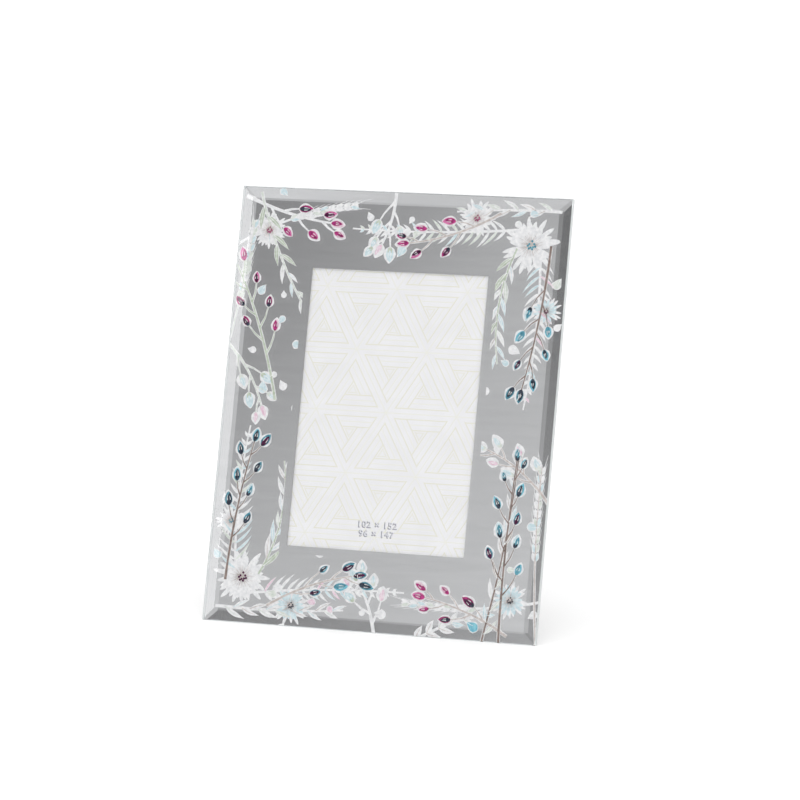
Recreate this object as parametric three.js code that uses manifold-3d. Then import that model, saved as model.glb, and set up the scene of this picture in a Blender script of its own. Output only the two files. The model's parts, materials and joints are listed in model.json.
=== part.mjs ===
// Glass picture frame: a bevelled mirror-glass panel with a clear window for a photo.
// Its back is a velour-covered board of three rails, in whose grooves a door slides up.
// The door carries a pinned hinge and an easel leg, on which the panel leans back.
//
// Millimetres, +Z up, origin on the floor at the middle of the standing frame.
// The panel is built upright and then leaned: X across, Y depth behind the front of the glass,
// Z up from the bottom edge of the glass. The leg is built hanging down from its hinge axis.

import * as THREE from 'three';
import { mergeVertices } from 'three/addons/utils/BufferGeometryUtils.js';
import Module from 'manifold-3d';

const wasm = await Module();
wasm.setup();

// Glass and mirror
const WINDOW_WIDTH = 96;
const WINDOW_HEIGHT = 147;
const BORDER = 42;
const GLASS_THICKNESS = 5;
const BEVEL_WIDTH = 6.4;
const BEVEL_DROP = 1.2;
const FRONT_ARRIS = 0.4;
const REAR_ARRIS = 0.4;
const COAT_THICKNESS = 0.3;
const COAT_INSET = 0.6;

// Photo card and the sheet that presses it forward
const PHOTO_WIDTH = 101.6;
const PHOTO_HEIGHT = 152.4;
const CARD_THICKNESS = 0.5;
const SHEET_THICKNESS = 2;

// Back rails, their cover and the tape that holds them to the mirror
const BACK_INSET = 11;
const LIP_THICKNESS = 1.6;
const COVER_THICKNESS = 0.4;
const EDGE_ROUND = 1.6;
const TAPE_THICKNESS = 0.8;
const TAPE_MARGIN = 4;

// Door
const TONGUE_REACH = 5;
const TONGUE_THICKNESS = 2;
const NOTCH_RADIUS = 9;

// Easel leg and how the frame stands
const LEAN = THREE.MathUtils.degToRad(18.1);
const LEG_OPENING = THREE.MathUtils.degToRad(34);
const HINGE_BELOW_TOP = 70;
const LEG_BOARD = 2;
const LEG_TOP_WIDTH = 36;
const LEG_FOOT_WIDTH = 58;
const LEG_WAIST_WIDTH = 38;
const LEG_WAIST_BELOW = 62;
const LEG_CORNER_ROUND = 5;

// Hinge
const LEAF_THICKNESS = 0.7;
const LEAF_HEIGHT = 20;
const LEAF_CORNER_ROUND = 2.5;
const DOOR_LEAF_WIDTH = 30;
const LEG_LEAF_WIDTH = 25;
const CENTRE_KNUCKLE = 10;
const ROLL_SEAM = 0.3;
const PIN_HEAD_THICKNESS = 0.6;
const PIN_HEAD_OVERHANG = 0.6;
const STOP_WIDTH = 7;
const STOP_LENGTH = 6.5;

// Rivets
const RIVET_FROM_LEAF_SIDE = 5.5;
const RIVET_FROM_LEAF_END = 7;
const RIVET_RADIUS = 1.1;
const RIVET_HEAD_RADIUS = 2.2;
const RIVET_HEAD_HEIGHT = 0.8;
const RIVET_BITE = 1.5;

// Clearances
const BOND_GAP = 0.1;
const SEAT_GAP = 0.3;
const MITRE_GAP = 0.3;
const CARD_PLAY = 0.5;
const SLIDE_PLAY = 0.3;
const FIELD_PLAY = 0.4;
const LEG_GAP = 0.4;
const PIN_PLAY = 0.1;
const KNUCKLE_PLAY = 0.2;
const RIVET_PLAY = 0.1;

// Facets
const ROUND_SIDES = 24;
const SMALL_ROUND_SIDES = 16;
const CORNER_STEPS = 5;
const CUTTER_SIZE = 400;

// Sizes that follow: glass
const glassWidth = WINDOW_WIDTH + 2 * BORDER;
const glassHeight = WINDOW_HEIGHT + 2 * BORDER;
const windowMiddle = glassHeight / 2;
const coatFront = GLASS_THICKNESS + BOND_GAP;
const coatRear = coatFront + COAT_THICKNESS;

// Sizes that follow: depths of the back, from the front
const tapeFront = coatRear + BOND_GAP;
const railFront = tapeFront + TAPE_THICKNESS + BOND_GAP;
const cardFront = coatRear + SEAT_GAP;
const sheetFront = cardFront + CARD_THICKNESS + SEAT_GAP;
const tongueFront = sheetFront + SHEET_THICKNESS + SEAT_GAP;
const grooveFront = tongueFront - SLIDE_PLAY;
const tongueRear = tongueFront + TONGUE_THICKNESS;
const grooveRear = tongueRear + SLIDE_PLAY;
const coreRear = grooveRear + LIP_THICKNESS;
const coverFront = coreRear + BOND_GAP;
const backRear = coverFront + COVER_THICKNESS;

// Sizes that follow: the pocket between the rails
const coverWrap = COVER_THICKNESS + BOND_GAP;
const pocketHalf = PHOTO_WIDTH / 2 + CARD_PLAY;
const pocketBottom = windowMiddle - PHOTO_HEIGHT / 2 - SEAT_GAP;
const railWidth = glassWidth / 2 - BACK_INSET - pocketHalf;
const backTop = glassHeight - BACK_INSET;
const grooveReach = TONGUE_REACH + FIELD_PLAY;

// Sizes that follow: hinge and leg. The rolled knuckle is as thick as the folded leg needs.
const knuckleRadius = (LEG_GAP + LEG_BOARD + coverWrap + LEAF_THICKNESS) / 2;
const boreRadius = knuckleRadius - LEAF_THICKNESS;
const pinRadius = boreRadius - PIN_PLAY;
const axisDepth = backRear + BOND_GAP + knuckleRadius;
const axisHeight = backTop - HINGE_BELOW_TOP;
const knuckleRoom = knuckleRadius + SEAT_GAP;
const legTilt = LEG_OPENING - LEAN;
const restDepth = GLASS_THICKNESS - REAR_ARRIS;
const axisAboveFloor = axisHeight * Math.cos(LEAN) - (axisDepth - restDepth) * Math.sin(LEAN);
const legReach = axisAboveFloor / Math.cos(legTilt);
const legFront = LEG_GAP - BOND_GAP - knuckleRadius;
const legRear = legFront + LEG_BOARD;
const legTop = -(knuckleRoom + coverWrap);

// Sizes that follow: rivets. Each pair keeps its distance from the sides and the far end of its leaf.
const doorRivetReach = DOOR_LEAF_WIDTH / 2 - RIVET_FROM_LEAF_SIDE;
const legRivetReach = LEG_LEAF_WIDTH / 2 - RIVET_FROM_LEAF_SIDE;
const rivetFromAxis = LEAF_HEIGHT - RIVET_FROM_LEAF_END;

const materials = {
  glass: new THREE.MeshStandardMaterial({
    color: '#dfe9e4', roughness: 0.03, metalness: 0, transparent: true, opacity: 0.35,
  }),
  mirror: new THREE.MeshStandardMaterial({ color: '#b9babb', roughness: 0.05, metalness: 1 }),
  tape: new THREE.MeshStandardMaterial({ color: '#e9e7df', roughness: 0.8, metalness: 0 }),
  board: new THREE.MeshStandardMaterial({ color: '#8a6a4b', roughness: 0.85, metalness: 0 }),
  velour: new THREE.MeshStandardMaterial({ color: '#26272b', roughness: 0.95, metalness: 0 }),
  card: new THREE.MeshStandardMaterial({ color: '#f1f0ee', roughness: 0.6, metalness: 0 }),
  greyboard: new THREE.MeshStandardMaterial({ color: '#9b9790', roughness: 0.9, metalness: 0 }),
  steel: new THREE.MeshStandardMaterial({ color: '#b9bcc0', roughness: 0.32, metalness: 1 }),
};

// Solids: joins and cuts

function solidOf(geometry) {
  const bare = geometry.clone();
  bare.deleteAttribute('normal');
  bare.deleteAttribute('uv');
  const merged = mergeVertices(bare);
  return new wasm.Manifold(new wasm.Mesh({
    numProp: 3,
    vertProperties: new Float32Array(merged.attributes.position.array),
    triVerts: new Uint32Array(merged.index.array),
  }));
}

function geometryOf(solid) {
  const mesh = solid.getMesh();
  const geometry = new THREE.BufferGeometry();
  geometry.setAttribute('position', new THREE.BufferAttribute(mesh.vertProperties, 3));
  geometry.setIndex(new THREE.BufferAttribute(mesh.triVerts, 1));
  geometry.computeVertexNormals();
  return geometry;
}

function joined(geometries) {
  return geometryOf(geometries.map(solidOf).reduce((whole, piece) => whole.add(piece)));
}

function cutBy(geometry, cutters) {
  return geometryOf(cutters.map(solidOf).reduce((rest, cutter) => rest.subtract(cutter), solidOf(geometry)));
}

// Plain shapes in the panel's axes

function block([left, right], [front, rear], [bottom, top]) {
  const geometry = new THREE.BoxGeometry(right - left, rear - front, top - bottom);
  return geometry.translate((left + right) / 2, (front + rear) / 2, (bottom + top) / 2);
}

function halves(reach) {
  return [-reach, reach];
}

function rodAcross(radius, [left, right], sides) {
  const geometry = new THREE.CylinderGeometry(radius, radius, right - left, sides);
  return geometry.rotateZ(Math.PI / 2).translate((left + right) / 2, 0, 0);
}

function rodInDepth(radius, [front, rear], sides) {
  const geometry = new THREE.CylinderGeometry(radius, radius, rear - front, sides);
  return geometry.translate(0, (front + rear) / 2, 0);
}

// A flat outline in X and Z, given thickness in depth.
function slab(outline, [front, rear]) {
  const geometry = new THREE.ExtrudeGeometry(outline, {
    depth: rear - front, bevelEnabled: false, curveSegments: CORNER_STEPS,
  });
  return geometry.rotateX(Math.PI / 2).translate(0, rear, 0);
}

function rectangle(halfWidth, bottom, top) {
  const outline = new THREE.Shape();
  outline.moveTo(-halfWidth, bottom);
  outline.lineTo(halfWidth, bottom);
  outline.lineTo(halfWidth, top);
  outline.lineTo(-halfWidth, top);
  outline.closePath();
  return outline;
}

// The four corners of each ring are joined to those of the next, from the front to the rear.
function steppedPlate(rings) {
  const corners = rings.flatMap(({ depth, inset }) => [
    [inset - glassWidth / 2, depth, inset],
    [glassWidth / 2 - inset, depth, inset],
    [glassWidth / 2 - inset, depth, glassHeight - inset],
    [inset - glassWidth / 2, depth, glassHeight - inset],
  ]);
  const faces = [0, 1, 2, 0, 2, 3];
  for (let ring = 0; ring < rings.length - 1; ring += 1) {
    for (let side = 0; side < 4; side += 1) {
      const here = ring * 4 + side;
      const next = ring * 4 + (side + 1) % 4;
      faces.push(here, here + 4, next, next, here + 4, next + 4);
    }
  }
  const last = (rings.length - 1) * 4;
  faces.push(last, last + 2, last + 1, last, last + 3, last + 2);
  const geometry = new THREE.BufferGeometry();
  geometry.setAttribute('position', new THREE.Float32BufferAttribute(corners.flat(), 3));
  geometry.setIndex(faces);
  geometry.computeVertexNormals();
  return geometry;
}

// Glass and mirror

function glassPanel() {
  return steppedPlate([
    { depth: 0, inset: BEVEL_WIDTH },
    { depth: BEVEL_DROP, inset: FRONT_ARRIS },
    { depth: BEVEL_DROP + FRONT_ARRIS, inset: 0 },
    { depth: GLASS_THICKNESS - REAR_ARRIS, inset: 0 },
    { depth: GLASS_THICKNESS, inset: REAR_ARRIS },
  ]);
}

function mirrorCoat() {
  const outline = rectangle(glassWidth / 2 - COAT_INSET, COAT_INSET, glassHeight - COAT_INSET);
  const windowBottom = windowMiddle - WINDOW_HEIGHT / 2;
  outline.holes.push(rectangle(WINDOW_WIDTH / 2, windowBottom, windowBottom + WINDOW_HEIGHT));
  return slab(outline, [coatFront, coatRear]);
}

// Rails. A section is drawn as [outward from the pocket, depth] and runs along the rail.

function roundedCorner(outer, rear, radius) {
  const points = [];
  for (let step = 0; step <= CORNER_STEPS; step += 1) {
    const turn = (step / CORNER_STEPS) * (Math.PI / 2);
    points.push([outer - radius + radius * Math.cos(turn), rear - radius + radius * Math.sin(turn)]);
  }
  return points;
}

function railCoreSection() {
  const outer = railWidth - coverWrap;
  return [
    [0, railFront],
    [outer, railFront],
    ...roundedCorner(outer, coreRear, EDGE_ROUND - coverWrap),
    [coverWrap, coreRear],
    [coverWrap, grooveRear],
    [grooveReach, grooveRear],
    [grooveReach, grooveFront],
    [0, grooveFront],
  ];
}

function railCoverSection() {
  const inside = roundedCorner(railWidth - COVER_THICKNESS, coverFront, EDGE_ROUND - COVER_THICKNESS);
  return [
    [railWidth - COVER_THICKNESS, railFront],
    [railWidth, railFront],
    ...roundedCorner(railWidth, backRear, EDGE_ROUND),
    [0, backRear],
    [0, grooveRear],
    [COVER_THICKNESS, grooveRear],
    [COVER_THICKNESS, coverFront],
    ...inside.reverse(),
  ];
}

function railCapSection() {
  return [
    [0, railFront],
    [railWidth, railFront],
    ...roundedCorner(railWidth, backRear, EDGE_ROUND),
    [0, backRear],
    [0, grooveRear],
    [grooveReach, grooveRear],
    [grooveReach, grooveFront],
    [0, grooveFront],
  ];
}

// A bar along Z with that section. Each end follows its own reach, so that it can be mitred.
function bar(section, startAt, endAt) {
  const outline = new THREE.Shape(section.map(([outward, depth]) => new THREE.Vector2(outward, depth)));
  const geometry = new THREE.ExtrudeGeometry(outline, { depth: 1, bevelEnabled: false });
  const { position } = geometry.attributes;
  for (let corner = 0; corner < position.count; corner += 1) {
    const reach = position.getZ(corner) > 0.5 ? endAt : startAt;
    position.setZ(corner, reach(Math.abs(position.getX(corner))));
  }
  return geometry;
}

const mitreBack = MITRE_GAP / Math.SQRT2;

function sideBar(section, side, bottomAt, topAt) {
  const turned = section.map(([outward, depth]) => [side * outward, depth]);
  return bar(turned, bottomAt, topAt).translate(side * pocketHalf, 0, 0);
}

const sideBottom = (outward) => pocketBottom - outward + mitreBack;

function sideRailCore(side) {
  return sideBar(railCoreSection(), side, sideBottom, () => backTop - coverWrap);
}

function sideRailCover(side) {
  const wrap = sideBar(railCoverSection(), side, sideBottom, () => backTop);
  const cap = sideBar(railCapSection(), side, () => backTop - COVER_THICKNESS, () => backTop);
  return joined([wrap, cap]);
}

function bottomBar(section) {
  const endAt = (outward) => pocketHalf + outward - mitreBack;
  const lying = bar(section, (outward) => -endAt(outward), endAt);
  return lying.rotateY(Math.PI / 2).translate(0, 0, pocketBottom);
}

function sideTape(side) {
  const inner = pocketHalf + TAPE_MARGIN;
  const outer = pocketHalf + railWidth - TAPE_MARGIN;
  const across = side > 0 ? [inner, outer] : [-outer, -inner];
  return block(across, [tapeFront, tapeFront + TAPE_THICKNESS], [pocketBottom, backTop - TAPE_MARGIN]);
}

function bottomTape() {
  const bottom = pocketBottom - railWidth + TAPE_MARGIN;
  const across = halves(pocketHalf + railWidth - TAPE_MARGIN);
  return block(across, [tapeFront, tapeFront + TAPE_THICKNESS], [bottom, pocketBottom - TAPE_MARGIN]);
}

// Card and pressure sheet

function pocketSheet(front, thickness) {
  const bottom = pocketBottom + SEAT_GAP;
  return block(halves(PHOTO_WIDTH / 2), [front, front + thickness], [bottom, bottom + PHOTO_HEIGHT]);
}

// Door

const fieldHalf = pocketHalf - FIELD_PLAY;
const fieldBottom = pocketBottom + FIELD_PLAY;

function fingerNotch() {
  const depths = [railFront, backRear + SEAT_GAP];
  return rodInDepth(NOTCH_RADIUS, depths, ROUND_SIDES).translate(0, 0, backTop);
}

function rivetHoles(reach, height, depths) {
  const hole = rodInDepth(RIVET_RADIUS + RIVET_PLAY, depths, SMALL_ROUND_SIDES);
  return halves(reach).map((across) => hole.clone().translate(across, 0, height));
}

function doorRivetHoles() {
  const bite = coreRear - RIVET_BITE - SEAT_GAP;
  return rivetHoles(doorRivetReach, axisHeight + rivetFromAxis, [bite, axisDepth]);
}

function doorBoard() {
  const top = backTop - coverWrap;
  const tongue = block(
    halves(pocketHalf + TONGUE_REACH), [tongueFront, tongueRear], [pocketBottom - TONGUE_REACH, top],
  );
  const field = block(halves(fieldHalf), [tongueFront, coreRear], [fieldBottom, top]);
  return cutBy(joined([tongue, field]), [fingerNotch(), ...doorRivetHoles()]);
}

function doorCover() {
  const face = block(halves(fieldHalf), [coverFront, backRear], [fieldBottom, backTop]);
  const topFold = block(halves(fieldHalf), [tongueFront, backRear], [backTop - COVER_THICKNESS, backTop]);
  return cutBy(joined([face, topFold]), [fingerNotch(), ...doorRivetHoles()]);
}

// Hinge, in axes through the pin: X along the pin, Y away from the door, Z up the door

function leafOutline(width, near, far) {
  const round = LEAF_CORNER_ROUND;
  const half = width / 2;
  const outline = new THREE.Shape();
  outline.moveTo(-half, near);
  outline.lineTo(half, near);
  outline.lineTo(half, far - round);
  outline.absarc(half - round, far - round, round, 0, Math.PI / 2);
  outline.absarc(round - half, far - round, round, Math.PI / 2, Math.PI);
  outline.closePath();
  return outline;
}

// The slit that stays where a rolled knuckle closes on its own leaf, on the side that the leaf points to.
function rollSeam(frontOfLeaf, towards) {
  const depths = frontOfLeaf ? [-boreRadius, ROLL_SEAM - boreRadius] : [boreRadius - ROLL_SEAM, boreRadius];
  const heights = towards > 0 ? [0, knuckleRoom] : [-knuckleRoom, 0];
  return block(halves(DOOR_LEAF_WIDTH), depths, heights);
}

function doorLeaf() {
  const faces = [-knuckleRadius, LEAF_THICKNESS - knuckleRadius];
  const plate = slab(leafOutline(DOOR_LEAF_WIDTH, 0, LEAF_HEIGHT), faces);
  const knuckle = rodAcross(knuckleRadius, halves(DOOR_LEAF_WIDTH / 2), ROUND_SIDES);
  const bore = rodAcross(boreRadius, halves(DOOR_LEAF_WIDTH), ROUND_SIDES);
  const gap = block(
    halves(CENTRE_KNUCKLE / 2 + KNUCKLE_PLAY), halves(knuckleRoom), [-knuckleRoom, knuckleRoom],
  );
  const holes = rivetHoles(doorRivetReach, rivetFromAxis, halves(knuckleRoom));
  return cutBy(joined([plate, knuckle]), [bore, rollSeam(true, 1), gap, ...holes]);
}

// The stop is bent so that it lies along the door when the leg is open.
function legStop() {
  const front = LEAF_THICKNESS + SEAT_GAP - knuckleRadius;
  const tab = block(halves(STOP_WIDTH / 2), [front, front + LEAF_THICKNESS], [0, STOP_LENGTH]);
  return tab.rotateX(-LEG_OPENING);
}

function legLeaf() {
  const faces = [knuckleRadius - LEAF_THICKNESS, knuckleRadius];
  const turned = slab(leafOutline(LEG_LEAF_WIDTH, 0, LEAF_HEIGHT), faces).rotateY(Math.PI);
  const knuckle = rodAcross(knuckleRadius, halves(CENTRE_KNUCKLE / 2), ROUND_SIDES);
  const bore = rodAcross(boreRadius, halves(DOOR_LEAF_WIDTH), ROUND_SIDES);
  const shoulders = [-1, 1].map((side) => block(
    halves(LEG_LEAF_WIDTH / 2), halves(knuckleRoom), halves(knuckleRoom),
  ).translate((side * (LEG_LEAF_WIDTH + CENTRE_KNUCKLE)) / 2, 0, 0));
  const holes = rivetHoles(legRivetReach, -rivetFromAxis, halves(knuckleRoom));
  return cutBy(joined([turned, knuckle, legStop()]), [bore, rollSeam(false, -1), ...shoulders, ...holes]);
}

function hingePin() {
  const shank = DOOR_LEAF_WIDTH / 2 + KNUCKLE_PLAY;
  const head = pinRadius + PIN_HEAD_OVERHANG;
  const end = shank + PIN_HEAD_THICKNESS;
  const profile = [
    [0, -end], [pinRadius, -end], [head, -(end + shank) / 2], [head, -shank], [pinRadius, -shank],
    [pinRadius, shank], [head, shank], [head, (end + shank) / 2], [pinRadius, end], [0, end],
  ];
  const points = profile.map(([radius, along]) => new THREE.Vector2(radius, along));
  return new THREE.LatheGeometry(points, ROUND_SIDES).rotateZ(Math.PI / 2);
}

// A drive rivet whose shank points to -Y. Its head rests on the leaf, at zero.
function rivet(shankLength) {
  const points = [new THREE.Vector2(0, -shankLength), new THREE.Vector2(RIVET_RADIUS, -shankLength)];
  points.push(new THREE.Vector2(RIVET_RADIUS, 0), new THREE.Vector2(RIVET_HEAD_RADIUS, 0));
  for (let step = 1; step < CORNER_STEPS; step += 1) {
    const turn = (step / CORNER_STEPS) * (Math.PI / 2);
    points.push(new THREE.Vector2(
      RIVET_HEAD_RADIUS * Math.cos(turn), RIVET_HEAD_HEIGHT * Math.sin(turn),
    ));
  }
  points.push(new THREE.Vector2(0, RIVET_HEAD_HEIGHT));
  return new THREE.LatheGeometry(points, SMALL_ROUND_SIDES);
}

// Leg, in the same axes, hanging to -Z

function legOutline(grow) {
  const top = legTop + grow;
  const foot = -legReach - LEG_BOARD;
  const waist = top - LEG_WAIST_BELOW;
  const round = LEG_CORNER_ROUND + grow;
  const topHalf = LEG_TOP_WIDTH / 2 + grow;
  const waistHalf = LEG_WAIST_WIDTH / 2 + grow;
  const footHalf = LEG_FOOT_WIDTH / 2 + grow;
  const bend = (waist + foot) / 2;
  const outline = new THREE.Shape();
  outline.moveTo(topHalf - round, top);
  outline.absarc(round - topHalf, top - round, round, Math.PI / 2, Math.PI);
  outline.lineTo(-waistHalf, waist);
  outline.bezierCurveTo(-waistHalf, bend, -footHalf, bend, -footHalf, foot);
  outline.lineTo(footHalf, foot);
  outline.bezierCurveTo(footHalf, bend, waistHalf, bend, waistHalf, waist);
  outline.lineTo(topHalf, top - round);
  outline.absarc(topHalf - round, top - round, round, 0, Math.PI / 2);
  return outline;
}

function legHoles(front) {
  return rivetHoles(legRivetReach, -rivetFromAxis, [front, knuckleRadius]);
}

// All that lies below the floor where the open leg stands, raised by a given height.
function underFloor(raised) {
  const half = CUTTER_SIZE / 2;
  const ground = block(halves(half), halves(half), [-CUTTER_SIZE, 0]);
  return ground.rotateX(-legTilt).translate(0, 0, (raised - axisAboveFloor) / Math.cos(legTilt));
}

function legBoard() {
  const plank = slab(legOutline(0), [legFront, legRear]);
  return cutBy(plank, [underFloor(0), ...legHoles(legRear - RIVET_BITE - SEAT_GAP)]);
}

function legCover() {
  const outside = slab(legOutline(coverWrap), [legFront, legRear + coverWrap]);
  const inside = slab(legOutline(BOND_GAP), [legFront - LEG_BOARD, legRear + BOND_GAP]);
  return cutBy(outside, [inside, underFloor(SEAT_GAP), ...legHoles(legRear - RIVET_BITE)]);
}

// Assembly

function part(name, geometry, material) {
  const mesh = new THREE.Mesh(geometry, material);
  mesh.name = name;
  return mesh;
}

function rivetPair(name, shankLength, reach, headDepth, height) {
  return [['left', -reach], ['right', reach]].map(([word, across]) => {
    const mesh = part(`${name}_${word}`, rivet(shankLength), materials.steel);
    mesh.position.set(across, headDepth, height);
    return mesh;
  });
}

function leg() {
  const group = new THREE.Group();
  group.add(part('leg_board', legBoard(), materials.board));
  group.add(part('leg_cover', legCover(), materials.velour));
  group.add(part('hinge_leg_leaf', legLeaf(), materials.steel));
  const headSeat = knuckleRadius + BOND_GAP;
  const shankLength = headSeat - legRear + RIVET_BITE;
  group.add(...rivetPair('leg_rivet', shankLength, legRivetReach, headSeat, -rivetFromAxis));
  group.position.set(0, axisDepth, axisHeight);
  group.rotation.x = LEG_OPENING;
  return group;
}

function hinge() {
  const group = new THREE.Group();
  group.add(part('hinge_door_leaf', doorLeaf(), materials.steel));
  group.add(part('hinge_pin', hingePin(), materials.steel));
  const headSeat = LEAF_THICKNESS - knuckleRadius + BOND_GAP;
  const shankLength = headSeat + axisDepth - coreRear + RIVET_BITE;
  group.add(...rivetPair('door_rivet', shankLength, doorRivetReach, headSeat, rivetFromAxis));
  group.position.set(0, axisDepth, axisHeight);
  return group;
}

function panel() {
  const group = new THREE.Group();
  group.add(part('glass_panel', glassPanel(), materials.glass));
  group.add(part('mirror_coat', mirrorCoat(), materials.mirror));
  [['left', -1], ['right', 1]].forEach(([word, side]) => {
    group.add(part(`rail_${word}`, sideRailCore(side), materials.board));
    group.add(part(`rail_cover_${word}`, sideRailCover(side), materials.velour));
    group.add(part(`tape_${word}`, sideTape(side), materials.tape));
  });
  group.add(part('rail_bottom', bottomBar(railCoreSection()), materials.board));
  group.add(part('rail_cover_bottom', bottomBar(railCoverSection()), materials.velour));
  group.add(part('tape_bottom', bottomTape(), materials.tape));
  group.add(part('photo_card', pocketSheet(cardFront, CARD_THICKNESS), materials.card));
  group.add(part('pressure_sheet', pocketSheet(sheetFront, SHEET_THICKNESS), materials.greyboard));
  group.add(part('door_board', doorBoard(), materials.board));
  group.add(part('door_cover', doorCover(), materials.velour));
  group.add(hinge());
  group.add(leg());
  return group;
}

// Leans the panel and moves it so that the floor and the middle of the frame are at the origin.
function standingFrame() {
  const standing = new THREE.Group();
  const leaning = panel();
  leaning.rotation.x = -LEAN;
  standing.add(leaning);
  standing.updateMatrixWorld(true);
  const reach = new THREE.Box3().setFromObject(standing, true);
  const middle = reach.getCenter(new THREE.Vector3());
  leaning.position.set(-middle.x, -middle.y, -reach.min.z);
  standing.updateMatrixWorld(true);
  return standing;
}

export default standingFrame();
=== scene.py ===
"""Dresses the glass photo frame: bevelled mirror glass with a print, a photo card and a velour back."""

import functools
import json
import logging
import math
import random
from dataclasses import dataclass, field
from enum import Enum
from typing import ClassVar, Iterable, NamedTuple, Sequence

import bmesh
import bpy
from mathutils import Matrix, Vector


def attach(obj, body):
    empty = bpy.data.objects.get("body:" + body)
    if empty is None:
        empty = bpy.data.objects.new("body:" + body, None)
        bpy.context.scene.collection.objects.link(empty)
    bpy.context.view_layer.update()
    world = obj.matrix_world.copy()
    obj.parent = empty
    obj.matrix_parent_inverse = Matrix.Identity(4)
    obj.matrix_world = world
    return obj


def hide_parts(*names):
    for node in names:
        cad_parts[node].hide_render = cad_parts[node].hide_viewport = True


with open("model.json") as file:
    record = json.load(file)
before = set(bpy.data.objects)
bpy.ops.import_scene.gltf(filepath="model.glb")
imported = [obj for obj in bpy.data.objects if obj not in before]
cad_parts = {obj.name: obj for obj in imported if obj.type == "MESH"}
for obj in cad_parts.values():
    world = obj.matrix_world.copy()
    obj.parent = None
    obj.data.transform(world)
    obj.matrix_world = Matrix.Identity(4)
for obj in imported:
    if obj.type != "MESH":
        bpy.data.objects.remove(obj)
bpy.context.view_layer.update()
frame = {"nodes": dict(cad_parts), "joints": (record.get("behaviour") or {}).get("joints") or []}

LOG = logging.getLogger("frame")
MM = 0.001

Colour = tuple[float, float, float]
Point = tuple[float, float]
Shape = bmesh.types.BMesh
Socket = bpy.types.NodeSocket


def srgb(code: str) -> Colour:
    """Turns a hash and six hexadecimal digits into the linear colour that shaders take."""
    parts = [int(code[start:start + 2], 16) / 255 for start in (1, 3, 5)]
    return tuple(part / 12.92 if part <= 0.04045 else ((part + 0.055) / 1.055) ** 2.4 for part in parts)


def rgba(colour: Colour) -> tuple[float, float, float, float]:
    """Adds full opacity to a colour."""
    return (*colour, 1.0)


def direction(azimuth: float, elevation: float) -> Vector:
    """Points from the object to a place, in degrees to the right of its front and above the horizon."""
    turn, rise = math.radians(azimuth), math.radians(elevation)
    return Vector((math.sin(turn) * math.cos(rise), -math.cos(turn) * math.cos(rise), math.sin(rise)))


@dataclass(frozen=True)
class PanelAxes:
    """The leaning panel's own axes: across, depth behind the front of the glass, and height up it."""

    matrix: Matrix

    @classmethod
    def from_frame(cls) -> "PanelAxes":
        """Reads the lean from the door's slide and the corner from the glass.

        Returns:
            The axes of the panel as it stands.
        """
        slide = next(joint for joint in frame["joints"] if joint["name"] == "door_slide")
        across = Vector((1, 0, 0))
        up = Vector(slide["axis"]).normalized()
        rear = up.cross(across)
        corners = [vertex.co for vertex in frame["nodes"]["glass_panel"].data.vertices]
        depth = min(corner.dot(rear) for corner in corners)
        height = min(corner.dot(up) for corner in corners)
        origin = rear * depth + up * height
        turn = Matrix((across, rear, up)).transposed().to_4x4()
        return cls(Matrix.Translation(origin) @ turn)

    def levels(self, node: str, axis: int) -> list[float]:
        """Lists the places of a node's corners across (0), in depth (1) or in height (2), in metres."""
        corners = [self.matrix.inverted() @ vertex.co for vertex in frame["nodes"][node].data.vertices]
        return sorted({round(corner[axis], 6) for corner in corners})

    def film(self, depth: float) -> Matrix:
        """Takes a drawing in millimetres to a plane some metres behind the front of the glass."""
        facing = Matrix(((1, 0, 0, 0), (0, 0, -1, depth / MM), (0, 1, 0, 0), (0, 0, 0, 1)))
        return self.matrix @ Matrix.Scale(MM, 4) @ facing


class Value:
    """A number that varies over a surface. Python's operators on it add Math nodes."""

    def __init__(self, nodes: "Nodes", socket: Socket) -> None:
        """Wraps an output socket of the given nodes."""
        self.nodes = nodes
        self.socket = socket

    def __add__(self, other: "Value | float") -> "Value":
        """Adds."""
        return self.nodes.math("ADD", self, other)

    __radd__ = __add__

    def __sub__(self, other: "Value | float") -> "Value":
        """Subtracts."""
        return self.nodes.math("SUBTRACT", self, other)

    def __rsub__(self, other: float) -> "Value":
        """Subtracts from a plain number."""
        return self.nodes.math("SUBTRACT", other, self)

    def __mul__(self, other: "Value | float") -> "Value":
        """Multiplies."""
        return self.nodes.math("MULTIPLY", self, other)

    def __truediv__(self, other: "Value | float") -> "Value":
        """Divides."""
        return self.nodes.math("DIVIDE", self, other)

    def __abs__(self) -> "Value":
        """Drops the sign."""
        return self.nodes.math("ABSOLUTE", self)

    def floor(self) -> "Value":
        """Rounds down."""
        return self.nodes.math("FLOOR", self)

    def above(self, limit: float) -> "Value":
        """Gives 1 where the value is over the limit, and else 0."""
        return self.nodes.math("GREATER_THAN", self, limit)

    def ramp(self, low: float, high: float) -> "Value":
        """Rises from 0 at the first number to 1 at the other, which may be the lower one."""
        return self.nodes.math("MULTIPLY", self - low, 1 / (high - low), clamp=True)


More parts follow.
